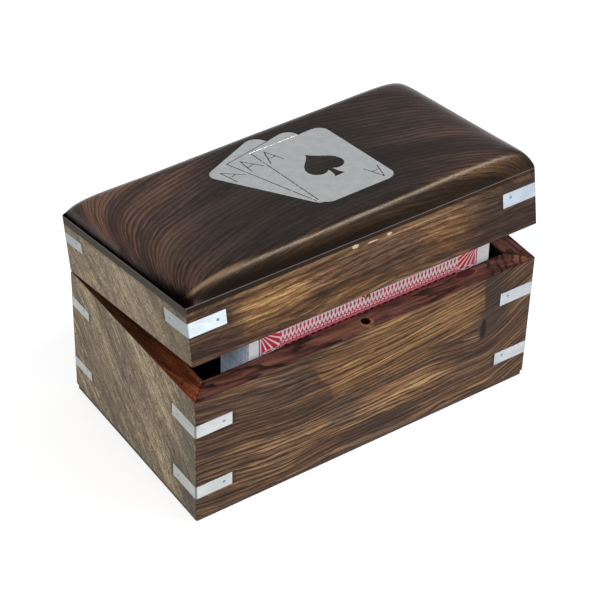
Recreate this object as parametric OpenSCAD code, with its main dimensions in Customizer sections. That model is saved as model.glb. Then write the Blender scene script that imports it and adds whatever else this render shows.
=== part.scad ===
// Hinged solid wood box for one deck of playing cards, shown with its lid a little open.
// Origin at the centre of the base's underside, +Z up, front towards -Y, millimetres.

/* [Box] */
// Length of the box, left to right
box_l = 125; // [110:1:170]
// Depth of the box, front to back
box_w = 72.5; // [60:0.5:100]
// Height of the base with its bottom board
base_h = 48.4; // [40:0.2:62]
// Thickness of the mitred walls
wall_t = 7.1; // [6.4:0.1:9]
// Thickness of the bottom board
board_t = 2; // [1.5:0.1:4]
// Inset of the bottom board from the walls' outer faces
board_in = 0.4; // [0:0.1:1]
// Radius on the upright outer corners
corner_r = 0.6; // [0.3:0.1:1.5]

/* [Lid] */
// Height of the lid's side, from its rim to the foot of the pillow
lid_side_h = 19.5; // [17:0.1:26]
// Thickness of the top panel's square edge
panel_edge = 2.9; // [1.5:0.1:4]
// Rise of the pillow top above its foot, at the lid's middle
pillow_rise = 7.6; // [3:0.1:12]
// Lean of the hand-sanded crown, up towards the right
crown_roll = 1.05; // [0:0.05:2]
// Lean of the hand-sanded crown, up towards the back
crown_pitch = 1.15; // [0:0.05:2]
// Depth sanded flat off the pillow's crown, so that the emblem lies flush
crown_flat = 0.15; // [0.1:0.05:0.4]
// Squareness of the pillow along its length, higher is flatter
pillow_x_power = 14; // [4:0.5:18]
// Steepness of the pillow's two ends, lower is steeper
pillow_x_edge = 0.45; // [0.35:0.05:1.5]
// Squareness of the pillow towards the back, higher is flatter
pillow_back_power = 13.5; // [6:0.5:18]
// Softness of the pillow's foot at the back, higher leaves a flatter ledge
pillow_back_edge = 3; // [1:0.1:3.5]
// Squareness of the pillow towards the front, which is fuller than the back
pillow_front_power = 26; // [6:0.5:34]
// Softness of the pillow's foot at the front
pillow_front_edge = 1.6; // [0.7:0.1:3.5]
// How far the lid stands open
open_deg = 10.3; // [0:0.1:60]

/* [Corner straps] */
// Height of a front strap
strap_h = 4.8; // [3:0.1:6]
// Length of each leg of a front strap
strap_leg = 12.8; // [10:0.1:18]
// Height of a back strap
strap_back_h = 3.6; // [3:0.1:6]
// Length of each leg of a back strap
strap_back_leg = 10.8; // [10:0.1:18]
// Thickness of the strap metal
strap_t = 0.8; // [0.5:0.1:1.2]
// How far a strap stands proud of the wood
strap_proud = 0.05; // [0:0.01:0.2]
// Gap between a strap's ends and edges and its recess
strap_fit = 0.08; // [0.05:0.01:0.2]
// Middle of the base's lower straps above the ground
strap_low_z = 12.2; // [8:0.1:18]
// Middle of the base's upper straps below the base's rim
strap_high_drop = 11.6; // [6:0.1:15]
// Middle of the lid's straps above the lid's rim
lid_strap_z = 12.1; // [8:0.1:13]
// Radius of a strap pin
strap_pin_r = 0.45; // [0.3:0.05:0.7]
// Length of a strap pin
strap_pin_len = 5; // [3:0.1:6]
// Distance of the pins from the straps' ends
strap_pin_in = 2.9; // [2:0.1:4]
// How far hand-set pins wander off the strap's middle line
strap_pin_wander = 0.9; // [0:0.1:1.2]

/* [Hinges] */
// Length of a butt hinge
hinge_len = 16; // [12:0.5:22]
// Middle of each hinge from the nearer end of the box
hinge_in = 24.5; // [20:0.5:38]
// Distance of the hinge axis inside the back face
hinge_inset = 1; // [0.6:0.1:1.5]
// Width of a leaf from the axis to its edge
leaf_w = 5; // [4.6:0.1:5.4]
// Thickness of a leaf
leaf_t = 0.75; // [0.5:0.05:1]
// Outer radius of the knuckles
knuckle_r = 1.45; // [1.2:0.05:1.7]
// Radius of the hinge pin
hinge_pin_r = 0.6; // [0.5:0.05:0.8]
// Gap between the two rims when the lid is shut
rim_gap = 0.1; // [0.05:0.01:0.3]
// Opening at which the relieved back edges meet
stop_deg = 103; // [95:1:120]

/* [Hinge screws] */
// Radius of a countersunk head
screw_head_r = 1.3; // [1:0.05:1.4]
// Height of a countersunk head
screw_head_h = 0.65; // [0.4:0.05:0.7]
// Radius of a screw's shank
screw_r = 0.55; // [0.4:0.05:0.7]
// Length of a screw
screw_len = 6; // [4:0.5:8]
// Distance of the screws from the hinge axis
screw_in = 3.2; // [3.1:0.05:3.4]
// Distance of the screws from the hinge's middle
screw_dx = 4.8; // [3:0.1:4.8]
// Width and depth of the slot in a screw's head
screw_slot = 0.3; // [0.2:0.05:0.4]

/* [Catch] */
// Radius of the split peg
peg_r = 1.3; // [1:0.05:1.6]
// Length of peg below the lid's rim
peg_out = 3.2; // [2:0.1:5]
// Length of peg in the lid's wall
peg_in = 8; // [5:0.5:12]
// Width of the split
peg_split = 0.5; // [0.3:0.05:0.8]
// Turn of the split about the peg's axis
peg_turn = -35; // [-90:5:90]
// Gap around the peg in the base's hole
peg_fit = 0.15; // [0.1:0.01:0.3]

/* [Emblem] */
// Width of one card of the emblem
emblem_w = 26.4; // [18:0.2:28]
// Height of one card of the emblem
emblem_h = 41.2; // [28:0.2:43]
// Corner radius of the emblem's cards
emblem_r = 3.7; // [1.5:0.1:5]
// Thickness of the emblem plate
emblem_t = 0.8; // [0.5:0.1:1]
// Pivot corner of the fan from the lid's middle, left to right
emblem_x = -5.5; // [-14:0.5:4]
// Pivot corner of the fan from the lid's middle, front to back
emblem_y = -23.2; // [-24:0.2:-16]
// Turn of the front card
emblem_turn = -0.3; // [-4:0.1:6]
// Turn from each card of the fan to the next
fan_step = 12.8; // [6:0.1:14]
// How much further the rear card of the fan reaches
fan_reach = 1.1; // [0:0.1:2]
// Width of the spade opening
spade_w = 12.8; // [8:0.2:16]
// Height of the spade opening
spade_h = 17.2; // [10:0.2:20]
// Lean of the hand-cut spade
spade_turn = 4.5; // [-8:0.1:8]
// Height of an index letter
index_h = 7.6; // [5:0.2:8]
// Width of an index letter
index_w = 4.6; // [3:0.2:5]
// Gap between an index letter and the card's side
index_side = 1.3; // [0.8:0.1:2]
// Gap between an index letter and the card's top
index_top = 2.2; // [1:0.1:4]
// Width of the engraved lines
groove_w = 0.3; // [0.2:0.05:0.5]
// Depth of the engraved lines
groove_d = 0.2; // [0.1:0.05:0.3]

/* [Lining] */
// Thickness of the black lining
lining_t = 0.5; // [0.3:0.1:1]
// How far the lining stops short of the rim
lining_drop = 0.4; // [0.2:0.1:2]

/* [Cards] */
// Length of a card, lying along the box
card_l = 89; // [80:0.5:92]
// How far the standing cards reach above the base's rim
card_above_rim = 11.1; // [4:0.1:12]
// Thickness of a card
card_t = 0.28; // [0.2:0.01:0.29]
// Pitch of the cards in the deck
card_pitch = 0.3; // [0.3:0.01:0.34]
// Number of cards
card_count = 54; // [20:1:60]
// Corner radius of a card
card_r = 3.2; // [2:0.1:4]
// Backward lean of the deck
card_lean = 1.2; // [1.2:0.1:4]
// Place of the deck in the free length, from -1 against the left end to 1 against the right end
card_place = 0.6; // [-0.9:0.01:0.9]
// Gap between the front card and the lining, at the floor
card_gap = 0.25; // [0.2:0.05:1]
// How far single cards slide out of line
card_wander = 0.2; // [0:0.05:0.5]

/* [Hidden] */

$fn = 48;
// Reach of a cutting tool past the face that it cuts
cut = 1;
// Clearance of a pressed pin or a glued-in peg in its hole, on the radius
press_gap = 0.02;
// Running clearance of the lid's knuckle on its pin, on the radius
run_gap = 0.06;
// Side clearance between neighbouring knuckles
side_gap = 0.1;
// Clearance between a knuckle and the parts that turn past it
barrel_gap = 0.3;
// Clearance around a leaf in its mortice and around a screw head in its countersink
leaf_gap = 0.05;

lid_wall_h = lid_side_h - panel_edge;
inner_l = box_l - 2 * wall_t;
inner_w = box_w - 2 * wall_t;
hinge_x = box_l / 2 - hinge_in;
hinge_y = box_w / 2 - hinge_inset;
hinge_z = base_h + rim_gap / 2;
lid_z = base_h + rim_gap;
knuckle_len = hinge_len / 3;
peg_y = -box_w / 2 + wall_t / 2;
lining_top = board_t + lining_t;
// Height of a card, standing on its long edge, 57 for a bridge deck
card_h = base_h + card_above_rim - lining_top;

WOOD = "#6b4a36";
DARK_WOOD = "#3a2a24";
METAL = "#c9cdcf";
BRASS = "#b08d4f";
LINING = "#0c0a0b";

// Shapes that several pieces share

module rounded_rect(l, w, r) {
    square([l - 2 * r, w], center = true);
    square([l, w - 2 * r], center = true);
    for (sx = [-1, 1], sy = [-1, 1])
        translate([sx * (l / 2 - r), sy * (w / 2 - r)]) circle(r);
}

// Plan of the front and back walls, mitred at both ends
module long_wall_plan(sy) {
    intersection() {
        rounded_rect(box_l, box_w, corner_r);
        mirror([0, sy < 0 ? 0 : 1]) polygon([
            [-box_l / 2, -box_w / 2], [box_l / 2, -box_w / 2],
            [inner_l / 2, -inner_w / 2], [-inner_l / 2, -inner_w / 2]]);
    }
}

// Plan of the left and right walls, mitred at both ends
module short_wall_plan(sx) {
    intersection() {
        rounded_rect(box_l, box_w, corner_r);
        mirror([sx < 0 ? 0 : 1, 0]) polygon([
            [-box_l / 2, -box_w / 2], [-inner_l / 2, -inner_w / 2],
            [-inner_l / 2, inner_w / 2], [-box_l / 2, box_w / 2]]);
    }
}

// Plan of an angle that wraps one corner, from the strap's depth out to the given reach
module strap_plan(sx, sy, reach, leg) {
    intersection() {
        difference() {
            rounded_rect(box_l + 2 * reach, box_w + 2 * reach, corner_r + reach);
            square([box_l - 2 * strap_t, box_w - 2 * strap_t], center = true);
        }
        translate([sx * (box_l / 2 + cut + reach - (leg + cut + reach) / 2),
            sy * (box_w / 2 + cut + reach - (leg + cut + reach) / 2)])
            square(leg + cut + reach, center = true);
    }
}

function leg(sy) = sy < 0 ? strap_leg : strap_back_leg;
function height(sy) = sy < 0 ? strap_h : strap_back_h;

// Recesses for the straps of one level, cut into all four walls alike
module strap_recesses(z) {
    for (sx = [-1, 1], sy = [-1, 1])
        translate([0, 0, z - height(sy) / 2 - strap_fit])
            linear_extrude(height(sy) + 2 * strap_fit) strap_plan(sx, sy, cut, leg(sy) + strap_fit);
}

function wander(n) = strap_pin_wander * sin(137 * n);

// Places its children at every strap pin of one level, with +Z pointing out of the wood
module at_strap_pins(z) {
    for (sx = [-1, 1], sy = [-1, 1]) {
        n = (sx + 1) / 2 + (sy + 1);
        in = leg(sy) - strap_pin_in;
        translate([sx * (box_l / 2 - in), sy * (box_w / 2 + strap_proud), z + wander(n)])
            rotate([-sy * 90, 0, 0]) children();
        translate([sx * (box_l / 2 + strap_proud), sy * (box_w / 2 - in), z + wander(n + 4)])
            rotate([0, sx * 90, 0]) children();
    }
}

module strap(sx, sy, z) {
    color(METAL) difference() {
        translate([0, 0, z - height(sy) / 2])
            linear_extrude(height(sy)) strap_plan(sx, sy, strap_proud, leg(sy));
        at_strap_pins(z) strap_pin(press_gap);
    }
}

// One pin from its head, flush with the strap, into the wall
module strap_pin(gap = 0) {
    translate([0, 0, -strap_pin_len - gap])
        cylinder(r = strap_pin_r + gap, h = strap_pin_len + gap + (gap > 0 ? cut : 0));
}

base_strap_levels = [strap_low_z, base_h - strap_high_drop];

// Turns what is modelled shut about the hinge axis to the lid's open place
module lid_place() {
    translate([0, hinge_y, hinge_z]) rotate([-open_deg, 0, 0]) translate([0, -hinge_y, -hinge_z])
        children();
}

// Hinges

// A rod on the hinge axis, centred on x
module on_axis(x, r, len) {
    translate([x - len / 2, hinge_y, hinge_z]) rotate([0, 90, 0]) cylinder(r = r, h = len);
}

// Middles of a leaf's knuckles: the base's leaf has the outer two, the lid's the middle one
function knuckles(up) = up ? [0] : [-knuckle_len, knuckle_len];

// Wedge behind the hinge axis, taken off the back edge so that the lid can swing up to its stop
module back_relief(up) {
    rise = hinge_inset * 2 * tan(stop_deg / 2);
    translate([-box_l / 2 - cut, hinge_y, hinge_z]) rotate([90, 0, 90])
        linear_extrude(box_l + 2 * cut)
        polygon([[0, 0], [hinge_inset * 2, up ? rise : -rise], [hinge_inset * 2, 0]]);
}

// Mortice for a leaf with room for the barrel; for the base it opens upward, for the lid downward
module hinge_mortice(sx, up) {
    x = sx * hinge_x;
    translate([x - hinge_len / 2 - leaf_gap, hinge_y - leaf_w - leaf_gap, up ? lid_z - cut : base_h - leaf_t])
        cube([hinge_len + 2 * leaf_gap, leaf_w + leaf_gap + hinge_inset + cut, leaf_t + cut]);
    on_axis(x, knuckle_r + barrel_gap, hinge_len + 2 * barrel_gap);
}

// Places its children at the mouths of one leaf's screw holes, with +Z pointing out of the wood
module at_screws(sx, up) {
    for (d = [-1, 1])
        translate([sx * hinge_x + d * screw_dx, hinge_y - screw_in, up ? lid_z : base_h])
            rotate([up ? 180 : 0, 0, 0]) children();
}

// Countersunk screw, its head just below z = 0, or with a gap the hole for it
module screw_body(gap = 0) {
    mouth = gap > 0 ? [[screw_head_r + gap, cut], [0, cut]] : [[0, -leaf_gap]];
    rotate_extrude() polygon(concat([
        [0, -screw_len - gap], [screw_r + gap, -screw_len - gap],
        [screw_r + gap, -leaf_gap - screw_head_h], [screw_head_r + gap, -leaf_gap]], mouth));
}

module hinge_screw() {
    difference() {
        screw_body();
        translate([-screw_head_r, -screw_slot / 2, -leaf_gap - screw_slot])
            cube([2 * screw_head_r, screw_slot, screw_slot + cut]);
    }
}

module hinge_screws(up) {
    color(BRASS) for (sx = [-1, 1]) at_screws(sx, up) hinge_screw();
}

// Plate that ends inside the knuckles' wall, and the knuckles rolled round the pin
module hinge_leaf(sx, up) {
    x = sx * hinge_x;
    plate_w = leaf_w - (hinge_pin_r + knuckle_r) / 2;
    color(BRASS) difference() {
        union() {
            translate([x - hinge_len / 2, hinge_y - leaf_w, up ? lid_z : base_h - leaf_t])
                cube([hinge_len, plate_w, leaf_t]);
            for (k = knuckles(up)) on_axis(x + k, knuckle_r, knuckle_len - side_gap);
        }
        for (k = knuckles(!up)) on_axis(x + k, knuckle_r + barrel_gap, knuckle_len + side_gap / 2);
        on_axis(x, hinge_pin_r + (up ? run_gap : press_gap), hinge_len + 2 * cut);
        at_screws(sx, up) screw_body(leaf_gap);
    }
}

module hinge_pin(sx) {
    color(BRASS) on_axis(sx * hinge_x, hinge_pin_r, hinge_len - side_gap);
}

// Base

module base_cuts() {
    for (z = base_strap_levels) {
        strap_recesses(z);
        at_strap_pins(z) strap_pin(press_gap);
    }
}

module base_wall(name) {
    color(WOOD) difference() {
        translate([0, 0, board_t]) linear_extrude(base_h - board_t) {
            if (name == "front") long_wall_plan(-1);
            if (name == "back") long_wall_plan(1);
            if (name == "left") short_wall_plan(-1);
            if (name == "right") short_wall_plan(1);
        }
        base_cuts();
        if (name == "front") catch_hole();
        if (name != "front") back_relief(false);
        if (name == "back") for (sx = [-1, 1]) {
            hinge_mortice(sx, false);
            at_screws(sx, false) screw_body(press_gap);
        }
    }
}

module catch_hole() {
    translate([0, peg_y, base_h - peg_out - 2 * cut]) cylinder(r = peg_r + peg_fit, h = peg_out + 3 * cut);
}

module bottom_board() {
    color(WOOD) linear_extrude(board_t)
        rounded_rect(box_l - 2 * board_in, box_w - 2 * board_in, corner_r);
}

module base_lining_floor() {
    color(LINING) translate([-inner_l / 2, -inner_w / 2, board_t]) cube([inner_l, inner_w, lining_t]);
}

// Upright lining sheet against one wall, from z up by the given height
module lining_sheet(name, z, h) {
    side = name == "front" || name == "left" ? -1 : 1;
    color(LINING) if (name == "front" || name == "back")
        translate([-inner_l / 2, side * (inner_w - lining_t) / 2 - lining_t / 2, z])
            cube([inner_l, lining_t, h]);
    else
        translate([side * (inner_l - lining_t) / 2 - lining_t / 2, -inner_w / 2 + lining_t, z])
            cube([lining_t, inner_w - 2 * lining_t, h]);
}

module base_lining(name) {
    lining_sheet(name, lining_top, base_h - lining_top - lining_drop);
}

module base_strap_pins() {
    color(METAL) for (z = base_strap_levels) at_strap_pins(z) strap_pin();
}

// Lid, modelled shut with its rim at lid_z and then turned open

module lid_cuts() {
    strap_recesses(lid_z + lid_strap_z);
    at_strap_pins(lid_z + lid_strap_z) strap_pin(press_gap);
}

module lid_wall(name) {
    color(WOOD) lid_place() difference() {
        translate([0, 0, lid_z]) linear_extrude(lid_wall_h) {
            if (name == "front") long_wall_plan(-1);
            if (name == "back") long_wall_plan(1);
            if (name == "left") short_wall_plan(-1);
            if (name == "right") short_wall_plan(1);
        }
        lid_cuts();
        if (name == "front") translate([0, peg_y, lid_z - cut])
            cylinder(r = peg_r + press_gap, h = peg_in + cut);
        if (name != "front") back_relief(true);
        if (name == "back") for (sx = [-1, 1]) {
            hinge_mortice(sx, true);
            at_screws(sx, true) screw_body(press_gap);
        }
    }
}

// Pillow top: the solid under three ridges, one along the box, one across it and two on its diagonals
pillow_steps = 30;
// Height of the leaning crown above the pillow's foot
function crown_at(x, y) = pillow_rise + x * tan(crown_roll) + y * tan(crown_pitch);
function fall_x(u) = pow(max(0, 1 - pow(min(1, abs(u)), pillow_x_power)), pillow_x_edge);
function fall_y(v) = v < 0 ? pow(max(0, 1 - pow(min(1, -v), pillow_front_power)), pillow_front_edge)
    : pow(max(0, 1 - pow(min(1, v), pillow_back_power)), pillow_back_edge);
// Places from -1 to 1 that crowd towards both ends
function station(i) = sin(90 * (2 * i / pillow_steps - 1));
// Highest point of the pillow on the line at distance d from the middle, square to the diagonal
// that leans to the given side
function diagonal_rise(d, side) = max([for (t = [-box_l / 2 : 0.5 : box_l / 2])
    let (x = (d - t) / sqrt(2), y = side * (d + t) / sqrt(2))
    fall_x(2 * x / box_l) * fall_y(2 * y / box_w) * crown_at(x, y)]);

// Ridge with the given half width, and rises over the ledge that change along its length by the
// factor grows, its length turned about Z
module ridge(half, rises, length, grows, turn) {
    n = len(rises) - 1;
    rotate([0, 0, turn]) translate([0, length / 2, lid_side_h]) rotate([90, 0, 0])
        linear_extrude(length, scale = [1, grows], slices = 1)
        polygon(concat([[half + cut, 0], [half + cut, -lid_side_h],
            [-half - cut, -lid_side_h], [-half - cut, 0]],
            [for (i = [0 : n]) [half * station(i), rises[i]]]));
}

// Places its children on the leaning crown, at the lid's middle
module on_crown() {
    translate([0, 0, lid_side_h + pillow_rise - crown_flat]) rotate([crown_pitch, -crown_roll, 0]) children();
}

module panel_blank() {
    diagonal = (box_l + box_w) / 2 / sqrt(2);
    intersection() {
        translate([0, 0, lid_wall_h]) linear_extrude(2 * lid_side_h) rounded_rect(box_l, box_w, corner_r);
        ridge(box_l / 2, [for (i = [0 : pillow_steps])
            fall_x(station(i)) * crown_at(station(i) * box_l / 2, box_w / 2)],
            box_w, crown_at(0, -box_w / 2) / crown_at(0, box_w / 2), 0);
        ridge(box_w / 2, [for (i = [0 : pillow_steps])
            fall_y(station(i)) * crown_at(-box_l / 2, station(i) * box_w / 2)],
            box_l, crown_at(box_l / 2, 0) / crown_at(-box_l / 2, 0), 90);
        for (side = [1, -1])
            ridge(diagonal, [for (i = [0 : pillow_steps]) diagonal_rise(diagonal * station(i), side)],
                2 * box_l, 1, side * 45);
        on_crown() translate([-box_l, -box_l, -lid_side_h]) cube([2 * box_l, 2 * box_l, lid_side_h]);
    }
}

module lid_top_panel() {
    color(DARK_WOOD) lid_place() translate([0, 0, lid_z]) difference() {
        panel_blank();
        at_emblem() translate([0, 0, -emblem_t]) linear_extrude(emblem_t + cut) difference() {
            fan_plan();
            spade_plan();
        }
    }
}

module base_strap_place(sx, sy, high) {
    strap(sx, sy, base_strap_levels[high ? 1 : 0]);
}

module lid_strap_place(sx, sy) {
    lid_place() strap(sx, sy, lid_z + lid_strap_z);
}

module lid_strap_pins() {
    color(METAL) lid_place() at_strap_pins(lid_z + lid_strap_z) strap_pin();
}

module lid_lining_top() {
    color(LINING) lid_place() translate([-inner_l / 2, -inner_w / 2, lid_z + lid_wall_h - lining_t])
        cube([inner_l, inner_w, lining_t]);
}

module lid_lining(name) {
    lid_place() lining_sheet(name, lid_z + lining_drop, lid_wall_h - lining_t - lining_drop);
}

module catch_peg() {
    tip = peg_r / 2;
    color(BRASS) lid_place() translate([0, peg_y, lid_z]) difference() {
        rotate_extrude() polygon([[0, -peg_out], [peg_r - tip, -peg_out], [peg_r, tip - peg_out],
            [peg_r, peg_in], [0, peg_in]]);
        rotate(peg_turn) translate([-peg_split / 2, -peg_r - cut, -peg_out - cut])
            cube([peg_split, 2 * (peg_r + cut), peg_out + 2 * cut]);
    }
}

// Emblem: a fan of three cards let in flush with the top of the pillow

module at_emblem() {
    on_crown() translate([emblem_x, emblem_y]) rotate(emblem_turn) children();
}

module fan_card(h) {
    translate([emblem_w / 2, h / 2]) rounded_rect(emblem_w, h, emblem_r);
}

module fan_plan() {
    for (n = [0 : 2]) rotate(n * fan_step) fan_card(n == 2 ? emblem_h + fan_reach : emblem_h);
}

function bezier(p, t) = pow(1 - t, 3) * p[0] + 3 * t * pow(1 - t, 2) * p[1]
    + 3 * t * t * (1 - t) * p[2] + pow(t, 3) * p[3];

// Right half of the spade in half widths and half heights: flank, lobe and foot
spade_curves = [
    [[0, 1], [0.12, 0.6], [1, 0.42], [1, -0.14]],
    [[1, -0.14], [1, -0.55], [0.4, -0.72], [0.13, -0.46]],
    [[0.13, -0.46], [0.13, -0.74], [0.18, -0.88], [0.31, -1]]];
spade_steps = 6;

module spade_plan() {
    half = [for (c = spade_curves, i = [0 : spade_steps - 1]) bezier(c, i / spade_steps)];
    foot = spade_curves[2][3];
    right = concat(half, [foot]);
    left = [for (i = [len(right) - 1 : -1 : 1]) [-right[i][0], right[i][1]]];
    translate([emblem_w * 0.485, emblem_h * 0.497]) rotate(spade_turn) polygon([for (p = concat(right, left))
        [p[0] * spade_w / 2, p[1] * spade_h / 2]]);
}

// Engraved line from one point to another in the plate's plane
module groove(a, b) {
    d = b - a;
    translate([a[0], a[1], -groove_d]) rotate(atan2(d[1], d[0]))
        translate([-groove_w / 2, -groove_w / 2, 0]) cube([norm(d) + groove_w, groove_w, groove_d + cut]);
}

// Index letter of an ace as three straight cuts, its apex up
module index_mark() {
    groove([0, 0], [index_w / 2, index_h]);
    groove([index_w, 0], [index_w / 2, index_h]);
    groove([index_w * 0.2, index_h * 0.4], [index_w * 0.8, index_h * 0.4]);
}

// Length of a card's upper edge that lies over the card behind it
overlap_w = (emblem_w - emblem_h * tan(fan_step / 2)) * 0.85;

module engraving() {
    for (n = [0 : 2]) rotate(n * fan_step)
        translate([index_side, emblem_h - index_h - index_top, 0]) index_mark();
    translate([emblem_w - index_side, index_h + index_top, 0]) rotate(180) index_mark();
    // Upper and left edges of the front two cards, where they lie over the card behind
    for (n = [0, 1]) rotate(n * fan_step) {
        groove([0, emblem_r], [0, emblem_h]);
        groove([0, emblem_h], [overlap_w, emblem_h]);
    }
}

module emblem_plate() {
    color(METAL) lid_place() translate([0, 0, lid_z]) at_emblem() difference() {
        translate([0, 0, -emblem_t]) linear_extrude(emblem_t) difference() {
            fan_plan();
            spade_plan();
        }
        engraving();
    }
}

// Deck of cards, standing on their long edges behind the front wall

card_x = card_place * ((inner_l - card_l) / 2 - lining_t);
card_y = -inner_w / 2 + lining_t + card_gap;
card_floor = lining_top + card_t * sin(card_lean);

module card(n) {
    translate([card_x + card_wander * sin(97 * n), card_y + n * card_pitch / cos(card_lean), card_floor])
        rotate([90 - card_lean, 0, 0]) translate([0, card_h / 2, -card_t])
        linear_extrude(card_t) rounded_rect(card_l, card_h, card_r);
}

module front_card() {
    color("#b01c33") card(0);
}

module card_deck() {
    color("#e9e9ec") for (n = [1 : card_count - 1]) card(n);
}

base_wall("front");  // base_front_wall
base_wall("back");  // base_back_wall
base_wall("left");  // base_left_wall
base_wall("right");  // base_right_wall
bottom_board();
base_lining_floor();
base_lining("front");  // base_lining_front
base_lining("back");  // base_lining_back
base_lining("left");  // base_lining_left
base_lining("right");  // base_lining_right
base_strap_place(-1, -1, true);  // base_strap_front_left_upper
base_strap_place(-1, -1, false);  // base_strap_front_left_lower
base_strap_place(1, -1, true);  // base_strap_front_right_upper
base_strap_place(1, -1, false);  // base_strap_front_right_lower
base_strap_place(-1, 1, true);  // base_strap_back_left_upper
base_strap_place(-1, 1, false);  // base_strap_back_left_lower
base_strap_place(1, 1, true);  // base_strap_back_right_upper
base_strap_place(1, 1, false);  // base_strap_back_right_lower
base_strap_pins();
lid_wall("front");  // lid_front_wall
lid_wall("back");  // lid_back_wall
lid_wall("left");  // lid_left_wall
lid_wall("right");  // lid_right_wall
lid_top_panel();
lid_lining_top();
lid_lining("front");  // lid_lining_front
lid_lining("back");  // lid_lining_back
lid_lining("left");  // lid_lining_left
lid_lining("right");  // lid_lining_right
lid_strap_place(-1, -1);  // lid_strap_front_left
lid_strap_place(1, -1);  // lid_strap_front_right
lid_strap_place(-1, 1);  // lid_strap_back_left
lid_strap_place(1, 1);  // lid_strap_back_right
lid_strap_pins();
emblem_plate();
catch_peg();
hinge_leaf(-1, false);  // base_hinge_leaf_left
hinge_leaf(1, false);  // base_hinge_leaf_right
lid_place() hinge_leaf(-1, true);  // lid_hinge_leaf_left
lid_place() hinge_leaf(1, true);  // lid_hinge_leaf_right
hinge_pin(-1);  // hinge_pin_left
hinge_pin(1);  // hinge_pin_right
hinge_screws(false);  // base_hinge_screws
lid_place() hinge_screws(true);  // lid_hinge_screws
front_card();
card_deck();
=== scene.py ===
from math import cos, hypot, pi, radians, sin, sqrt, tan
import bmesh
import bpy
from mathutils import Matrix, Vector


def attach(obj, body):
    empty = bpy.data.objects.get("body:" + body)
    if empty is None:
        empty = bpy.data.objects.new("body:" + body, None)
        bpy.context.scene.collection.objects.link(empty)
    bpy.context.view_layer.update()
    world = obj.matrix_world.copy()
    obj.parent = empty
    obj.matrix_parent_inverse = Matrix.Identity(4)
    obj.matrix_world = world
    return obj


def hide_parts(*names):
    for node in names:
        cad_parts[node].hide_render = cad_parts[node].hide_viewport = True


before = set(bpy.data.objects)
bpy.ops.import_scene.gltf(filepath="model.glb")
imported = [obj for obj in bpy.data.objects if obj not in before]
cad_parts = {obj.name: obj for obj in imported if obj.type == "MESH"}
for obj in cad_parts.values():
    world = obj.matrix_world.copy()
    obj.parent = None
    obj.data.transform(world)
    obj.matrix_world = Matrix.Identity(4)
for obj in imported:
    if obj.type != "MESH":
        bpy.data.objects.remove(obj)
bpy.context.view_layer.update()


# Base walls. Four lengths of dark striped hardwood, mitred and glued at the corners, their arrises
# eased with sandpaper, a thin satin oil finish. The front wall has a knot near its right end, the
# left wall was cut across a branch, so its grain runs down towards the front.

mm = 0.001
half_l, half_w, base_top, board_h, wall_ease = 62.5, 36.25, 48.4, 2.0, 0.3
strap_levels, strap_half, back_strap_half = (12.2, 36.8), 2.4, 1.8
strap_end, side_strap_end, side_back_strap_end = 49.7, 23.45, 25.45
peg_y, hole_r = -32.7, 1.5
knot_x, knot_z, valley = 44.0, 28.7, 0.0011
hinge = Vector((0, 35.25 * mm, 48.45 * mm))
open_angle = radians(10.3)
opening = Matrix.Translation(hinge) @ Matrix.Rotation(-open_angle, 4, "X") @ Matrix.Translation(-hinge)


def rgb(r, g, b):
    """A colour as the eye reads it, from 0 to 255, for a colour socket."""
    linear = [c / 255 / 12.92 if c < 10 else ((c / 255 + 0.055) / 1.055) ** 2.4 for c in (r, g, b)]
    return (*linear, 1)


class Value:
    """A number or colour on its way through a finish; | takes the larger of two, & the smaller."""
    def __init__(self, finish, socket):
        self.finish, self.socket = finish, socket

    def maths(self, operation, a, b=0.0):
        return self.finish.node("ShaderNodeMath", {"operation": operation}, {0: a, 1: b})

    def __add__(self, other):
        return self.maths("ADD", self, other)

    def __sub__(self, other):
        return self.maths("SUBTRACT", self, other)

    def __rsub__(self, other):
        return self.maths("SUBTRACT", other, self)

    def __mul__(self, other):
        return self.maths("MULTIPLY", self, other)

    def __truediv__(self, other):
        return self.maths("DIVIDE", self, other)

    def __rtruediv__(self, other):
        return self.maths("DIVIDE", other, self)

    def __mod__(self, other):
        return self.maths("FLOORED_MODULO", self, other)

    def __or__(self, other):
        return self.maths("MAXIMUM", self, other)

    def __and__(self, other):
        return self.maths("MINIMUM", self, other)

    def __pow__(self, other):
        return self.maths("POWER", self, other)

    def __abs__(self):
        return self.maths("ABSOLUTE", self)

    __radd__ = __add__
    __rmul__ = __mul__


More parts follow.
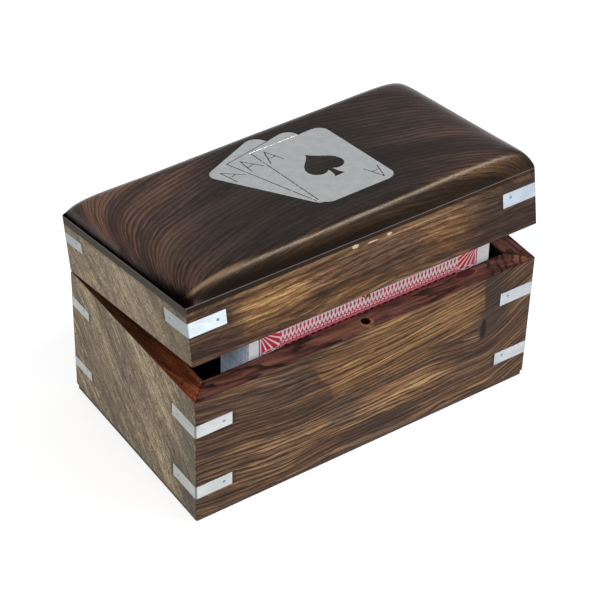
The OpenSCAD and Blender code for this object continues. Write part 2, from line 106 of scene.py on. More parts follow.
class Finish:
    """A material, or the world's light, and the one way to add a node to it."""
    def __init__(self, name, material=None, shader="Principled BSDF", **sockets):
        self.material = material or bpy.data.materials.new(name)
        self.material.use_nodes = True
        self.nodes = self.material.node_tree.nodes
        self.shader = self.nodes[shader]
        self.set(**sockets)

    def set(self, **sockets):
        for name, value in sockets.items():
            self.put(self.shader.inputs[name.replace("_", " ")], value)

    def put(self, socket, value):
        if isinstance(value, Value):
            self.material.node_tree.links.new(value.socket, socket)
        else:
            socket.default_value = value

    def node(self, kind, settings=None, sockets=None, out=0):
        made = self.nodes.new(kind)
        for name, value in (settings or {}).items():
            if name == "stops":
                for n, (at, colour) in enumerate(value):
                    stop = made.color_ramp.elements[n] if n < 2 else made.color_ramp.elements.new(at)
                    stop.position, stop.color = at, colour
            else:
                setattr(made, name, value)
        for key, value in (sockets or {}).items():
            self.put(made.inputs[key], value)
        return Value(self, made.outputs[out])

    def place(self, lid=False):
        """The place on the box in millimetres; on the lid's pieces, where it lies when the lid is shut."""
        at = self.node("ShaderNodeTexCoord", out="Object")
        if lid:
            at = self.node("ShaderNodeVectorRotate", {"rotation_type": "X_AXIS"},
                           {"Vector": at, "Center": tuple(hinge), "Angle": open_angle})
        at = self.node("ShaderNodeVectorMath", {"operation": "SCALE"}, {0: at, "Scale": 1 / mm})
        parts = self.node("ShaderNodeSeparateXYZ", sockets={0: at}).socket.node.outputs
        return [Value(self, part) for part in parts]

    def noise(self, x, y, z, scale=1.0, detail=2.0, rough=0.5):
        at = self.node("ShaderNodeCombineXYZ", sockets={0: x, 1: y, 2: z})
        return self.node("ShaderNodeTexNoise", sockets={"Vector": at, "Scale": scale, "Detail": detail,
                                                        "Roughness": rough})

    def wander(self, x, y, z, reach, **noise):
        """A slow to-and-fro, about the reach from end to end."""
        return (self.noise(x, y, z, **noise) - 0.5) * reach

    def step(self, value, low, high, at_low=0.0, at_high=1.0):
        """A soft step between two values: nothing at the first, one at the second."""
        return self.node("ShaderNodeMapRange", {"interpolation_type": "SMOOTHSTEP"},
                         {0: value, 1: low, 2: high, 3: at_low, 4: at_high})

    def fall(self, value, full, none):
        """A soft step the other way: one at the first value, nothing at the second."""
        return self.step(value, full, none, 1.0, 0.0)

    def patches(self, x, z, *ovals):
        """The strongest of some soft oval patches, each a middle, two half sizes and a strength."""
        strongest = 0.0
        for *shape, strength in ovals:
            strongest = self.fall(oval(x, z, *shape), 0.1, 1.3) * strength | strongest
        return strongest

    def mix(self, factor, a, b):
        return self.node("ShaderNodeMix", {"data_type": "RGBA"}, {0: factor, 6: a, 7: b}, out=2)

    def stain(self, factor, colour, tone, dark, light):
        """Covers a colour with one that keeps the grain, dark to light as the tone goes."""
        return self.mix(factor, colour, self.mix(tone, dark, light))

    def ramp(self, value, dark, middle, light, at=0.5):
        stops = (0.0, dark), (1.0, light), (at, middle)
        return self.node("ShaderNodeValToRGB", {"stops": stops}, {0: value})

    def bump(self, height, distance):
        return self.node("ShaderNodeBump", sockets={"Height": height, "Distance": distance})


def oval(x, z, middle_x, middle_z, half_x, half_z):
    """Nothing in the middle of an oval, one on its outline, more outside."""
    return ((x - middle_x) / half_x) ** 2.0 + ((z - middle_z) / half_z) ** 2.0


def in_scene(name, content):
    """An object in the scene that holds a mesh, a light or a camera."""
    made = bpy.data.objects.new(name, content)
    bpy.context.scene.collection.objects.link(made)
    return made


def mesh_of(name, shape):
    """The mesh of a bmesh, which is freed."""
    data = bpy.data.meshes.new(name)
    shape.to_mesh(data)
    shape.free()
    return data


def new_piece(name, shape, finish, body, replaced):
    """Makes a bmesh a piece that rides on a body and stands for a CAD node."""
    data = mesh_of(name, shape)
    data.materials.append(finish.material)
    made = in_scene(name, data)
    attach(made, body)
    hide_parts(replaced)
    return made


def merged_copy(node, lid=False):
    """Merged copy of a CAD node's mesh; a lid piece comes as it lies when the lid is shut."""
    shape = bmesh.new()
    shape.from_mesh(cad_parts[node].data)
    bmesh.ops.remove_doubles(shape, verts=shape.verts, dist=0.002 * mm)
    if lid:
        bmesh.ops.transform(shape, matrix=opening.inverted(), verts=shape.verts)
    bmesh.ops.dissolve_limit(shape, angle_limit=radians(1), verts=shape.verts, edges=shape.edges)
    return shape


def eased_copy(node, width, keep, lid=False, segments=3):
    """Merged copy of a CAD node in its place, with the sharp edges that keep picks eased."""
    sharp = radians(25)
    shape = merged_copy(node, lid)
    chosen = [e for e in shape.edges if len(e.link_faces) == 2 and e.calc_face_angle() > sharp
              and keep(e.verts[0].co / mm, e.verts[1].co / mm)]
    bmesh.ops.bevel(shape, geom=chosen, offset=width * mm, offset_type="OFFSET", affect="EDGES",
                    segments=segments, profile=0.5, material=-1, clamp_overlap=True)
    if lid:
        bmesh.ops.transform(shape, matrix=opening, verts=shape.verts)
    return shape


def off_mitre(x, y):
    """Distance from the diagonal on which two walls meet at a corner."""
    return abs((half_l - abs(x)) - (half_w - abs(y)))


def at_rim(*levels):
    """Picks a wall's long edges at some heights, but not the ends of its mitres."""
    near, shortest = 0.05, 1.2

    def keep(a, b):
        level = any(abs(a.z - z) < near and abs(b.z - z) < near for z in levels)
        mitre = off_mitre(a.x, a.y) < near and off_mitre(b.x, b.y) < near
        return level and (a - b).length > shortest and not mitre
    return keep


def timber(name, grain, palette, lid=False, figure=None, seed=0.0, period=1.7, wild=2.4, lines=0.75,
           bands=0.0, run=0.14, fine=1.9, fleck=(0.55, 4.5), pores=0.6, specks=0.5):
    """Striped hardwood. grain gives the distance along, across and into the board from the place,
    palette its dark, middle, light and line colours, and figure paints what one board alone has.
    period and wild say how far apart and how unruly the dark lines are, lines and bands how strong
    they and the broader bands are, run and fine how the fibres are drawn out and how thin they are,
    fleck, pores and specks how the pores are drawn out, how rare and how dark they are, and seed
    picks another stretch of the same board."""
    wood = Finish(name, Roughness=0.5, Specular_IOR_Level=0.12)
    x, y, z = wood.place(lid)
    along, across, deep = grain(wood, x, y, z)
    drift = wood.wander(along * 0.014 + seed, across * 0.035, deep * 0.03, reach=11)
    lane = across + drift + deep * 0.25
    broad = wood.noise(along * 0.012 + seed, lane * 0.13, deep * 0.1, detail=3.0, rough=0.6)
    wobble = wood.noise(along * 0.05 + seed, lane * 0.3, deep * 0.25, detail=3.0, rough=0.6)
    fibre = wood.noise(along * run, lane * fine, deep * fine, detail=4.0, rough=0.65)
    pore = wood.noise(along * fleck[0], lane * fleck[1], deep * fleck[1], detail=1.0)
    uneven = wood.noise(along * 0.03, lane * 0.5, deep * 0.4 + 7, detail=1.0)
    ring = (lane / period + wobble * wild) % 1.0
    late = wood.step(ring, 0.4, 0.78) * wood.fall(ring, 0.9, 1.0) * wood.step(uneven, 0.25, 0.55, 0.4, 1.0)
    belt = (lane / (period * 2.7) + wobble * 1.1) % 1.0
    belt = wood.step(belt, 0.25, 0.7) * wood.fall(belt, 0.82, 1.0) * bands
    tone = wood.step(broad * 0.7 + fibre - 0.35 - belt, 0.2, 0.8)
    dark, middle, light, line = palette
    colour = wood.ramp(tone, dark, middle, light)
    if figure:
        colour, lines = figure(wood, x, y, z, colour, tone, lines)
    colour = wood.mix(late * lines, colour, line)
    dash = wood.step(pore, pores, pores + 0.1)
    colour = wood.mix(dash * specks, colour, rgb(26, 16, 10))
    wood.set(Base_Color=colour, Roughness=wood.step(fibre, 0.3, 0.7, 0.42, 0.56),
             Normal=wood.bump(fibre * 0.5 - dash * 0.8, 0.04 * mm))
    return wood


def front_grain(wood, x, y, z):
    """The grain sags in the middle of the board, parts round the knot and drops past it."""
    kx, kz = x - knot_x, z - x * x * valley - (knot_z - knot_x ** 2 * valley)
    part = 1 - 20 / (kx * kx * 0.35 + kz * kz + 26)
    return x, kz * part - wood.step(x, 44, 66) * 6, y


def left_grain(wood, x, y, z):
    """The grain runs down towards the front."""
    return z * 0.75 + y * 0.66, z * 0.66 - y * 0.75, x


def plain_grain(wood, x, y, z):
    return x, z, y


def right_grain(wood, x, y, z):
    return y, z + 0.2 * y, x


def rim_stain(wood, x, y, z, colour, edge, facing, sideways=False):
    """The sawn rims carry a dark red-brown stain, on the base's left wall orange and darker to the
    back; the mitres show as fine lines across them. facing is 1 on an upper rim, -1 on a lower one."""
    near = wood.step(z * facing, edge * facing - 0.32, edge * facing - 0.05)
    along, across = (y, x) if sideways else (x, y)
    drift = wood.noise(along * 0.05, across * 0.1, 5.0, detail=1.0) * 5
    streak = wood.noise(along * 0.05, (across + along * 0.06) * 0.8 + drift, 2.0, detail=4.0, rough=0.65)
    streak = wood.step(streak, 0.28, 0.72)
    red = wood.ramp(streak, rgb(46, 25, 24), rgb(76, 45, 40), rgb(110, 71, 57), at=0.45)
    if sideways:
        orange = wood.ramp(streak, rgb(62, 26, 14), rgb(98, 46, 27), rgb(140, 78, 46), at=0.45)
        orange = wood.stain(wood.step(y, -24, 2) * 0.85, orange, streak, rgb(22, 13, 8), rgb(64, 40, 22))
        red = wood.mix(wood.fall(x, 0, 1), red, orange)
    red = wood.mix(wood.fall(off_mitre(x, y), 0.08, 0.28) * 0.75, red, rgb(34, 16, 12))
    return wood.mix(near, colour, red)


def strap_shade(wood, across, z, colour, end, levels, half):
    """Darker wood just past the ends of the straps."""
    shade = 0.0
    for level in levels:
        shade = wood.fall(abs(z - level), half - 0.4, half + 0.5) | shade
    return wood.mix(shade * wood.step(across, end - 2.2, end - 0.2) * 0.6, colour, rgb(34, 24, 20))


def base_front_figure(wood, x, y, z, colour, tone, lines):
    """Golden and dusky patches, duller wood past the knot, the knot in its halo, and on the rim the
    chipped hole of the peg with a pale wedge, a dark eye and an orange corner."""
    shift = wood.wander(x * 0.08, z * 0.2, 3.0, reach=9, detail=3.0)
    px, pz = x + shift * 1.5, z + shift - x * x * valley
    gold = wood.patches(px, pz, (5, 37, 32, 12, 1), (31, 38, 14, 10, 1)) \
        * wood.step(x + z * 0.52 - 1.2 + shift * 0.3, -0.8, 0.8)
    gold = gold | wood.patches(px, pz, (14, 17, 20, 6, 0.5), (-51, 19, 9, 4, 0.3), (-44, 9, 13, 4, 0.2),
                               (57, 27, 6, 5, 1))
    dusk = wood.patches(px, pz, (-10, 20, 10, 7, 0.7), (4, 5, 18, 5, 0.7), (-33, 37, 14, 8, 0.7))
    border = 40.2 + (47.7 - z) * 0.09 + wood.fall(z, 34, 24) * 2.6 + shift * 0.06
    past = wood.step(x - border, -0.3, 0.4) * wood.step(z, 22.5, 25.5)
    golden = wood.ramp(tone, rgb(90, 60, 37), rgb(150, 112, 70), rgb(206, 168, 114))
    dull = wood.ramp(tone, rgb(32, 23, 19), rgb(62, 48, 40), rgb(96, 78, 66))
    colour = wood.mix(gold * (1 - past) * 0.9, colour, golden)
    colour = wood.stain(dusk, colour, tone, rgb(36, 24, 20), rgb(100, 78, 66))
    colour = wood.mix(past * wood.fall(x, 47, 58) * 0.9, colour, dull)
    colour = wood.stain(wood.step(x, -34, -58) * 0.6, colour, tone, rgb(32, 20, 15), rgb(104, 78, 60))
    rough = wood.wander(x * 0.9, z * 0.5, 6.0, reach=3, detail=3.0)
    knot = wood.fall(oval(x + rough * 0.5, z + rough * 0.5, 43.8, 28.0, 1.1, 3.8), 0.7, 1.5)
    halo = wood.fall(oval(x + rough, z, 44.8, 29.5, 3.4, 7.5), 0.3, 1.4)
    colour = wood.stain(halo * 0.75, colour, tone, rgb(40, 27, 20), rgb(88, 65, 49))
    colour = wood.mix(knot, colour, rgb(10, 5, 4))
    colour = strap_shade(wood, abs(x), z, colour, strap_end, strap_levels, strap_half)
    colour = rim_stain(wood, x, y, z, colour, base_top, 1)
    radius = (x * x + (y - peg_y) ** 2.0) ** 0.5
    chip = wood.fall(radius + (y - peg_y) * 0.35 + rough * 0.5, hole_r, hole_r + 0.8)
    chip = chip * wood.step(z, base_top - 0.5, base_top - 0.2)
    colour = wood.mix(chip * 0.6, colour, rgb(142, 104, 62))
    colour = wood.mix(wood.fall(radius, hole_r, hole_r + 0.15), colour, rgb(22, 8, 3))
    rim = wood.step(z, base_top - 0.4, base_top - 0.2)
    wedge = wood.patches(x + shift, y, (-6.5, -33.0, 9.0, 1.8, 0.3)) * rim
    colour = wood.mix(wedge, colour, rgb(124, 86, 56))
    eye = oval(x, y, 39.2, -30.8, 3.6, 1.5) + shift * 0.03
    colour = wood.mix(wood.fall(eye, 0.9, 1.5) * rim * 0.8, colour, rgb(58, 20, 26))
    colour = wood.mix(wood.fall(abs(eye - 1.25), 0.1, 0.4) * rim * 0.5, colour, rgb(128, 78, 58))
    orange = wood.patches(x, y + shift * 0.3, (58.5, -33.0, 3.6, 2.2, 0.4)) * rim
    colour = wood.mix(orange, colour, rgb(140, 88, 58))
    return colour, lines * (1 - halo * 0.5)


def clouds(wood, x, y, z, colour, tone, yellow, dull, dull_share):
    """Yellow and dull clouds drawn out along the left walls' grain."""
    along, across, deep = left_grain(wood, x, y, z)
    cloud = wood.noise(deep, along * 0.03, across * 0.09)
    colour = wood.stain(wood.step(cloud, 0.52, 0.68) * 0.6, colour, tone, *yellow)
    return wood.stain(wood.step(cloud, 0.46, 0.34) * dull_share, colour, tone, *dull)


def base_left_figure(wood, x, y, z, colour, tone, lines):
    """Clouds, a greyer front end, and darker wood just past the front and back straps."""
    colour = clouds(wood, x, y, z, colour, tone, (rgb(128, 108, 68), rgb(196, 174, 124)),
                    (rgb(66, 50, 46), rgb(132, 112, 96)), 0.5)
    colour = wood.stain(wood.step(y, -20, -34) * 0.75, colour, tone, rgb(60, 54, 46), rgb(112, 104, 90))
    colour = strap_shade(wood, 0 - y, z, colour, side_strap_end, strap_levels, strap_half)
    colour = strap_shade(wood, y, z, colour, side_back_strap_end, strap_levels, back_strap_half)
    return rim_stain(wood, x, y, z, colour, base_top, 1, sideways=True), lines


def plain_figure(edge, facing, sideways=False):
    """Nothing but the stained rim."""
    def figure(wood, x, y, z, colour, tone, lines):
        return rim_stain(wood, x, y, z, colour, edge, facing, sideways), lines
    return figure


brown = rgb(44, 27, 17), rgb(98, 69, 48), rgb(164, 130, 94), rgb(26, 13, 7)
tan_grey = rgb(70, 57, 42), rgb(140, 124, 99), rgb(198, 180, 148), rgb(58, 44, 33)
striped = dict(palette=brown, wild=2.0, lines=0.9, bands=0.08, run=0.08, fine=2.2, fleck=(0.5, 4.0),
               pores=0.6, specks=0.45)
slanted = dict(palette=tan_grey, wild=2.4, lines=0.25, bands=0.05, run=0.3, fine=1.5, fleck=(1.1, 2.8),
               pores=0.55, specks=0.8)
for side, grain, cut, figure in (("front", front_grain, striped, base_front_figure),
                                 ("back", plain_grain, striped, plain_figure(base_top, 1)),
                                 ("left", left_grain, slanted, base_left_figure),
                                 ("right", right_grain, striped, plain_figure(base_top, 1, sideways=True))):
    node = "base_%s_wall" % side
    wood = timber("timber_base_" + side, grain, figure=figure, **cut)
    shape = eased_copy(node, wall_ease, at_rim(base_top, board_h))
    new_piece("base_wall_" + side, shape, wood, "base", node)


# Bottom board, a thin dark sheet of wood planted under the walls, a little inside their faces. Only
# its edge shows, below the joint just above the ground.

def dress(node, finish):
    """Gives a CAD node that is shown as it is its finish."""
    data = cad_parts[node].data
    data.materials.clear()
    data.materials.append(finish.material)


board_brown = rgb(50, 38, 30), rgb(84, 68, 54), rgb(112, 94, 76), rgb(44, 32, 26)
dress("bottom_board", timber("timber_board", plain_grain, board_brown))


# Black lining, thin napped cloth glued to the walls and floor inside the base and the lid. Its
# sheets stop just short of the rims, which stay bare.

cloth = Finish("black_lining", Roughness=0.95, Specular_IOR_Level=0.1)
nap = cloth.noise(*cloth.place(), scale=6.0, detail=3.0)
cloth.set(Base_Color=cloth.mix(nap, rgb(4, 3, 4), rgb(12, 10, 11)), Normal=cloth.bump(nap, 0.05 * mm))
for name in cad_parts:
    if "lining" in name:
        dress(name, cloth)


# Lid walls, from the same boards as the base, glued up with it and sawn off. The front wall's upper
# edge is pale where small chips broke out along the glue line of the top panel.

lid_foot = 48.5
lid_joint, lid_strap_levels = lid_foot + 16.6, (lid_foot + 12.1,)


def lid_front_figure(wood, x, y, z, colour, tone, lines):
    """Golden patches, murky ends and middle, and a pale strip below the top panel."""
    shift = wood.wander(x * 0.08, z * 0.2, 8.0, reach=7, detail=3.0)
    px, pz = x + shift * 1.5, z + shift - lid_foot
    gold = wood.patches(px, pz, (-33, 10, 16, 7, 1), (28, 9.5, 12, 7, 0.75), (-8, 3, 10, 4, 0.5))
    golden = wood.ramp(tone, rgb(94, 62, 36), rgb(138, 102, 64), rgb(198, 160, 110))
    colour = wood.mix(gold * 0.85, colour, golden)
    colour = wood.mix(wood.step(x, -24, -8) * 0.22, colour, rgb(50, 34, 27))
    murk = wood.step(x + shift, 33, 44) | wood.step(x, -42, -50) * 0.75
    colour = wood.stain(murk * 0.85, colour, tone, rgb(30, 21, 17), rgb(80, 60, 50))
    dusk = wood.patches(px, pz, (4, 11, 17, 7, 0.75))
    colour = wood.stain(dusk, colour, tone, rgb(44, 30, 22), rgb(104, 78, 60))
    colour = strap_shade(wood, abs(x), z, colour, strap_end, lid_strap_levels, strap_half)
    pale = wood.step(z, lid_joint - 0.8, lid_joint - 0.2) * wood.step(x, 2, 8) * wood.fall(x, 26, 40)
    colour = wood.mix(pale * 0.6, colour, rgb(176, 146, 108))
    return rim_stain(wood, x, y, z, colour, lid_foot, -1), lines


def lid_left_figure(wood, x, y, z, colour, tone, lines):
    """Clouds, greyer towards the front and just below the top panel."""
    colour = clouds(wood, x, y, z, colour, tone, (rgb(130, 110, 74), rgb(200, 180, 132)),
                    (rgb(72, 60, 50), rgb(134, 118, 100)), 0.4)
    colour = wood.mix(wood.step(y, 0, -36) * 0.3 + 0.2, colour, rgb(68, 60, 52))
    colour = wood.mix(wood.step(z, lid_joint - 1.6, lid_joint - 0.2) * 0.35, colour, rgb(60, 54, 46))
    colour = strap_shade(wood, 0 - y, z, colour, side_strap_end, lid_strap_levels, strap_half)
    return rim_stain(wood, x, y, z, colour, lid_foot, -1), lines


lid_striped = dict(striped, wild=2.4, lines=0.6, bands=0.1, run=0.14, fine=2.4, fleck=(0.7, 3.2),
                   pores=0.58, specks=0.5)
lid_slanted = dict(slanted, lines=0.2, bands=0.04)
for side, grain, cut, figure in (("front", plain_grain, lid_striped, lid_front_figure),
                                 ("back", plain_grain, lid_striped, plain_figure(lid_foot, -1)),
                                 ("left", left_grain, lid_slanted, lid_left_figure),
                                 ("right", right_grain, lid_striped, plain_figure(lid_foot, -1))):
    node = "lid_%s_wall" % side
    wood = timber("timber_lid_" + side, grain, lid=True, figure=figure, seed=4.0, **cut)
    shape = eased_copy(node, wall_ease, at_rim(lid_foot), lid=True)
    new_piece("lid_wall_" + side, shape, wood, "lid", node)


# Top panel, one dark slab glued on the lid's walls and sanded by hand to a satin pillow that stands
# higher at the back and right. Its growth layers lie flat, so they show as arcs. A narrow ledge is
# left round its foot, and the front's edge is chipped. Painted shade darkens the foot of the pillow at
# the front and at the left end; a painted highlight runs along the front's arris near the left end,
# a thin one along the front ledge, and a painted grey sheen covers the edge band at the left end.

panel_foot, panel_edge, arris, corner = lid_foot + 19.5, 2.9, 0.3, 0.6
crown_rise, crown_roll, crown_pitch, crown_flat = 7.6, radians(1.05), radians(1.15), 0.21


def crown(x, y):
    """Height of the leaning crown over the foot."""
    return crown_rise + x * tan(crown_roll) + y * tan(crown_pitch)


def share(value, start, end):
    """How much of the way from start to end a number has gone, from 0 to 1."""
    return min(max((value - start) / (end - start), 0), 1)


def pillow(x, y):
    """Height of the pillow over its foot, planed flat where the emblem lies. The front is fuller
    than the back and squarer still at its right end; the front left end falls gently, the back left
    corner is full, and the right end sags a little towards the front."""
    power, edge, end, reach = 13.5, 3.0, 0.45, 14
    if y > 0:
        edge -= 0.4 * share(x, 30, 0) + 1.1 * share(x, -35, -60)
        end -= 0.1 * share(x, -35, -60)
    else:
        left, right = share(x, -10, -60), share(x, 5, 35)
        power = 30 - 2 * right
        edge = 1.3 + 0.4 * left + 0.1 * right - 0.6 * share(x, 40, 62) ** 2
        if x < 0:
            near = share(y, -12, -32) ** 1.5
            end, reach = end + 0.55 * near, reach - 6 * near
    along, across = max(0.0, 1 - abs(x / half_l) ** reach), max(0.0, 1 - abs(y / half_w) ** power)
    sag = 0.075 * share(x, 34, 56) * share(y, 22, -18)
    free, flat = crown(x, y) * along ** end * across ** edge * (1 - sag), crown(x, y) - crown_flat
    blend = 0.16
    return min(free, flat) - max(blend - abs(free - flat), 0) ** 2 / blend / 4


slab = bmesh.new()
bmesh.ops.create_grid(slab, x_segments=128, y_segments=96, size=1)
for v in slab.verts:
    x, y = half_l * sin(v.co.x * pi / 2), half_w * sin(v.co.y * pi / 2)
    z = panel_foot + pillow(x, y)
    from_edge = min(half_l - abs(x), half_w - abs(y))
    if from_edge < arris:
        z -= arris - sqrt(arris ** 2 - (arris - from_edge) ** 2)
    a, b = abs(x) - half_l + corner, abs(y) - half_w + corner
    if a > 0 and b > 0:
        pull = max(a, b) / hypot(a, b)
        x += (a * pull - a) * (1 if x > 0 else -1)
        y += (b * pull - b) * (1 if y > 0 else -1)
    v.co = Vector((x, y, z)) * mm
edges = [e for e in slab.edges if e.is_boundary]
for v in bmesh.ops.extrude_edge_only(slab, edges=edges)["geom"]:
    if isinstance(v, bmesh.types.BMVert):
        v.co.z = (panel_foot - panel_edge) * mm
bmesh.ops.holes_fill(slab, edges=[e for e in slab.edges if e.is_boundary], sides=0)
bmesh.ops.recalc_face_normals(slab, faces=slab.faces)
bmesh.ops.transform(slab, matrix=opening, verts=slab.verts)
for f in slab.faces:
    f.smooth = True

dark = Finish("timber_top", Specular_IOR_Level=0.3, Specular_Tint=rgb(255, 232, 208))
x, y, z = dark.place(lid=True)
above = z - panel_foot
on_top, on_front = dark.step(above, -0.1, 0), dark.fall(y, 0.1 - half_w, 0.35 - half_w)
drift = dark.wander(x * 0.016, y * 0.04, z * 0.03, reach=7, detail=3.0, rough=0.55)
end_rise = (1 - ((abs(x) / half_l) ** 14.0) | 0.0) ** 0.45 * crown_rise
lane = y + x * x / 220 - end_rise * 5 + above * 1.2 + drift
broad = dark.noise(x * 0.01, lane * 0.09, 4.0)
fibre = dark.noise(x * 0.14, lane * 2.4, z * 0.8, detail=4.0, rough=0.7)
ring = (lane / 2.3 + dark.noise(x * 0.02, lane * 0.12, 1.0) * 1.4) % 1.0
late = dark.step(ring, 0.1, 0.75) * dark.fall(ring, 0.75, 1.0)
tone = dark.step(broad * 0.6 + fibre * 0.8 - late * 0.1 - 0.15, 0.25, 0.75)

black_brown = dark.ramp(tone, rgb(8, 5, 5), rgb(21, 16, 15), rgb(48, 36, 33))
warm_brown = dark.ramp(tone, rgb(26, 16, 13), rgb(58, 41, 36), rgb(106, 76, 62))
golden = dark.ramp(tone, rgb(14, 8, 4), rgb(38, 23, 13), rgb(84, 60, 38))
ends = dark.step(y - x * 0.94, 24, 52) * dark.step(x, -8, -34) | dark.step(x, -28, -58) * 0.35 \
    | dark.step(x, 15, 50) * 0.45
colour = dark.mix(ends, black_brown, warm_brown)
colour = dark.mix(late * 0.3, colour, rgb(20, 14, 13))
colour = dark.mix(dark.fall(y, -34.5, -31) * (dark.step(x, -5, 40) * 0.3 + 0.65), colour, golden)
shade = dark.fall(above, 1.0, 5.5) * dark.fall(y, -35.0, -33.0) * dark.step(x, -10, 50, 0.9, 0.45)
colour = dark.mix(shade, colour, rgb(8, 4, 3))
# Painted highlight along the front's arris near the left end, added to the lamps' own.
from_arris = abs(y + 33.2 + (fibre - 0.5) * 0.8)
arris_highlight = dark.fall(from_arris, 0.2, 1.1) * dark.step(x, -34, -50) * dark.step(above, 0, 1)
colour = dark.mix(arris_highlight * 0.5, colour, rgb(146, 118, 92))

band = dark.fall(above, -0.35, -0.15)
# Painted grey sheen on the edge band at the left end.
colour = dark.stain(band * dark.fall(x, 0.1 - half_l, 0.6 - half_l), colour, fibre, rgb(46, 43, 40),
                    rgb(68, 64, 60))
# Painted highlight: a thin light line along the front ledge.
ledge = dark.fall(abs(above + 0.12), 0.05, 0.2) * on_front
colour = dark.mix(ledge * 0.65, colour, rgb(106, 98, 100))
wall_like = dark.ramp(tone, rgb(46, 31, 23), rgb(90, 66, 48), rgb(136, 104, 74))
wall_like = dark.stain(dark.step(x, 33, 44) * 0.8 | dark.step(x, -42, -50) * 0.5, wall_like, tone,
                       rgb(30, 21, 17), rgb(76, 58, 48))
depth = dark.step(x, -45, -8, 1.9, 1.45) + (fibre - 0.5) * 0.8
colour = dark.mix(dark.fall(above + depth, -0.15, 0.15) * on_front, colour, wall_like)
chips = dark.patches(x, above, (-4.6, -2.1, 1.7, 0.9, 0.5), (1.6, -2.8, 2.6, 0.6, 0.5),
                     (7.6, -2.4, 1.3, 0.7, 0.5))
chips = dark.step(chips + dark.noise(x * 1.9, z * 3.2, 2.0, detail=3.0, rough=0.75), 0.86, 0.92)
chips = chips * dark.fall(y, 0.35 - half_w, 0.55 - half_w)
colour = dark.mix(chips * 0.9, colour, rgb(190, 168, 144))
# Painted shade: the lower slope of the pillow's left end is turned black.
foot = dark.fall(above + (fibre - 0.5) * 4, 0.8, 3.8) * dark.step(x, -56, -61) * on_top
colour = dark.mix(foot * 0.95, colour, rgb(5, 3, 3))
dark.set(Base_Color=colour, Roughness=dark.step(fibre, 0.25, 0.75, 0.26, 0.38) | band * 0.8,
         Normal=dark.bump(fibre - late * 0.3, 0.025 * mm))

# The painted shade is also mixed in as a black coat without gloss, so the foot shows no reflection.
shade_coat = dark.node("ShaderNodeBsdfPrincipled", sockets={"Base Color": rgb(7, 4, 3), "Roughness": 0.9,
                                                      "Specular IOR Level": 0.0})
polish = Value(dark, dark.shader.outputs[0])
shaded_finish = dark.node("ShaderNodeMixShader", sockets={0: foot | shade * 0.6 * on_top, 1: polish, 2: shade_coat})
dark.put(dark.nodes["Material Output"].inputs["Surface"], shaded_finish)
panel = new_piece("top_panel", slab, dark, "lid", "lid_top_panel")

plate = merged_copy("emblem_plate", lid=True)
up = Vector((-tan(crown_roll), -tan(crown_pitch), 1)).normalized()
bmesh.ops.delete(plate, geom=[f for f in plate.faces if f.normal.dot(up) > -0.99], context="FACES")
top = bmesh.ops.extrude_face_region(plate, geom=plate.faces[:])["geom"]
bmesh.ops.translate(plate, vec=up * 2 * mm, verts=[v for v in top if isinstance(v, bmesh.types.BMVert)])
bmesh.ops.recalc_face_normals(plate, faces=plate.faces)
bmesh.ops.transform(plate, matrix=opening, verts=plate.verts)
pocket = in_scene("pocket", mesh_of("pocket", plate))
cut = panel.modifiers.new("pocket", "BOOLEAN")
cut.object, cut.operation, cut.solver = pocket, "DIFFERENCE", "EXACT"
bpy.context.view_layer.update()
data = bpy.data.meshes.new_from_object(panel.evaluated_get(bpy.context.evaluated_depsgraph_get()))
panel.modifiers.clear()
panel.data = data
data.set_sharp_from_angle(angle=radians(40))
bpy.data.objects.remove(pocket)


# Straps, twelve aluminium angles let in flush round the corners, four to a level, two levels on the
# base and one on the lid, nailed at each end and rubbed with fine grit along their length. They
# show a dark line at the bend on the base.

def metal(name, shade, left_reflection, right_reflection, bend, lid=False):
    """Rubbed aluminium. Its colours for the front, the left legs and the right end are painted reflection;
    bend is how dark the line at the bend is.
    """
    plain = Finish(name, Metallic=1.0, Specular_IOR_Level=0.5)
    x, y, z = plain.place(lid)
    scratch = plain.noise((x + y) * 0.25, (x - y) * 0.25, z * 5.0, detail=4.0, rough=0.7)
    cloud = plain.noise(x * 0.12, y * 0.12, z * 0.3)
    on_left = plain.fall(x, 0.02 - half_l, 0.3 - half_l)
    colour = plain.mix(on_left, plain.mix(plain.step(x, 40, 52), shade, right_reflection), left_reflection)
    colour = plain.mix(plain.step(scratch * 0.6 + cloud * 0.7, 0.45, 0.85) * 0.35, colour, rgb(120, 124, 128))
    from_bend = (half_l - abs(x)) + (half_w - abs(y))
    colour = plain.mix(plain.fall(from_bend, 0.2, 0.6) * bend, colour, rgb(70, 72, 76))
    plain.set(Base_Color=colour, Roughness=plain.step(scratch, 0.3, 0.7, 0.34, 0.48),
              Normal=plain.bump(scratch, 0.012 * mm))
    return plain


strap_ease = 0.1
# The lid's copy is given lighter than the base's as painted reflection.
strap_metal = {
    "base": metal("rubbed_aluminium_base", rgb(202, 205, 206), rgb(178, 181, 177), rgb(190, 195, 200), 0.85),
    "lid": metal("rubbed_aluminium_lid", rgb(224, 236, 244), rgb(150, 157, 156), rgb(184, 196, 208), 0.25,
                 lid=True)}
for name in sorted(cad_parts):
    body = "lid" if name.startswith("lid_") else "base"
    if "_strap_" in name and not name.endswith("pins"):
        shape = eased_copy(name, strap_ease, lambda a, b: True, lid=body == "lid", segments=2)
        new_piece(name + "_eased", shape, strap_metal[body], body, name)


# Strap pins, short soft nails driven through the straps' ends, their small heads filed to a low
# dome, dull grey and mottled.

def at_head(a, b):
    """Picks the short edges round a nail's head, which lie outside the walls' faces."""
    return max(abs(a.x) - half_l, abs(a.y) - half_w) > -0.1 and (a - b).length < 0.6


